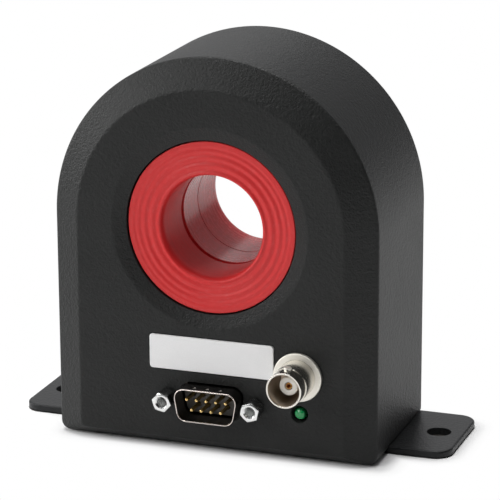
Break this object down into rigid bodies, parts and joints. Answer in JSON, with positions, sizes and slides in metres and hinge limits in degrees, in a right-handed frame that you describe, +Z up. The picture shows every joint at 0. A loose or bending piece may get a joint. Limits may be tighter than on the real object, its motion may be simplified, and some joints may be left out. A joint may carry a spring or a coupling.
{
  "type": "fluxgate current transducer",
  "caption": "Arched black current transducer on a foot plate, with a red-lined through bore, a D-shaped pin plug, a bayonet jack, an indicator lamp and a bare badge plate on its front.",
  "frame": {"origin": "centre of the foot plate's underside", "axes": "+X to the right as the front is seen, along the foot plate; +Y from the front to the back, along the bore; +Z up"},
  "size_m": [0.124, 0.0587, 0.108],
  "materials": {
    "housing_coat": "matte",
    "plate_coat": "matte",
    "red_lining": "satin",
    "badge": "satin",
    "tinned_steel": "satin",
    "zinc_steel": "satin",
    "nickel_plate": "satin",
    "gold_plate": "polished",
    "black_plastic": "satin",
    "white_plastic": "satin",
    "green_lens": "gloss",
    "circuit_board": "satin",
    "natural_plastic": "matte",
    "copper_wire": "satin",
    "core_strip": "satin",
    "can_alloy": "satin",
    "foam_pad": "matte",
    "dark_screw": "satin"
  },
  "bodies": {
    "root": {"housing": "housing_coat", "rear_cover": "housing_coat", "base_plate": "plate_coat", "base_screw_left": "dark_screw", "base_screw_right": "dark_screw", "cover_screw_upper_left": "dark_screw", "cover_screw_upper_right": "dark_screw", "cover_screw_lower_left": "dark_screw", "cover_screw_lower_right": "dark_screw", "front_bushing": "red_lining", "bore_sleeve": "red_lining", "rear_bushing": "red_lining", "coil_former": "natural_plastic", "front_spacer": "foam_pad", "rear_spacer": "foam_pad", "compensation_winding": "copper_wire", "shield_can_front": "can_alloy", "shield_can_rear": "can_alloy", "excitation_core_front": "core_strip", "excitation_core_rear": "core_strip", "excitation_winding_front": "copper_wire", "excitation_winding_rear": "copper_wire", "feedback_core": "core_strip", "dsub_shell": "tinned_steel", "dsub_insulator": "black_plastic", "dsub_pin_1": "gold_plate", "dsub_pin_2": "gold_plate", "dsub_pin_3": "gold_plate", "dsub_pin_4": "gold_plate", "dsub_pin_5": "gold_plate", "dsub_pin_6": "gold_plate", "dsub_pin_7": "gold_plate", "dsub_pin_8": "gold_plate", "dsub_pin_9": "gold_plate", "jackscrew_left": "zinc_steel", "jackscrew_right": "zinc_steel", "jackscrew_nut_left": "zinc_steel", "jackscrew_nut_right": "zinc_steel", "bnc_body": "nickel_plate", "bnc_insulator": "white_plastic", "bnc_contact": "gold_plate", "bnc_lock_washer": "zinc_steel", "bnc_nut": "nickel_plate", "led": "green_lens", "badge_plate": "badge", "front_board": "circuit_board", "power_board": "circuit_board", "standoff_lower_left": "zinc_steel", "standoff_upper_left": "zinc_steel", "standoff_lower_right": "zinc_steel", "standoff_upper_middle": "zinc_steel", "board_screw_lower_left": "zinc_steel", "board_screw_upper_left": "zinc_steel", "board_screw_lower_right": "zinc_steel", "board_screw_upper_middle": "zinc_steel", "capacitor_left": "black_plastic", "capacitor_right": "black_plastic", "board_header": "black_plastic", "power_transistor_left": "black_plastic", "power_transistor_right": "black_plastic"}
  },
  "joints": []
}
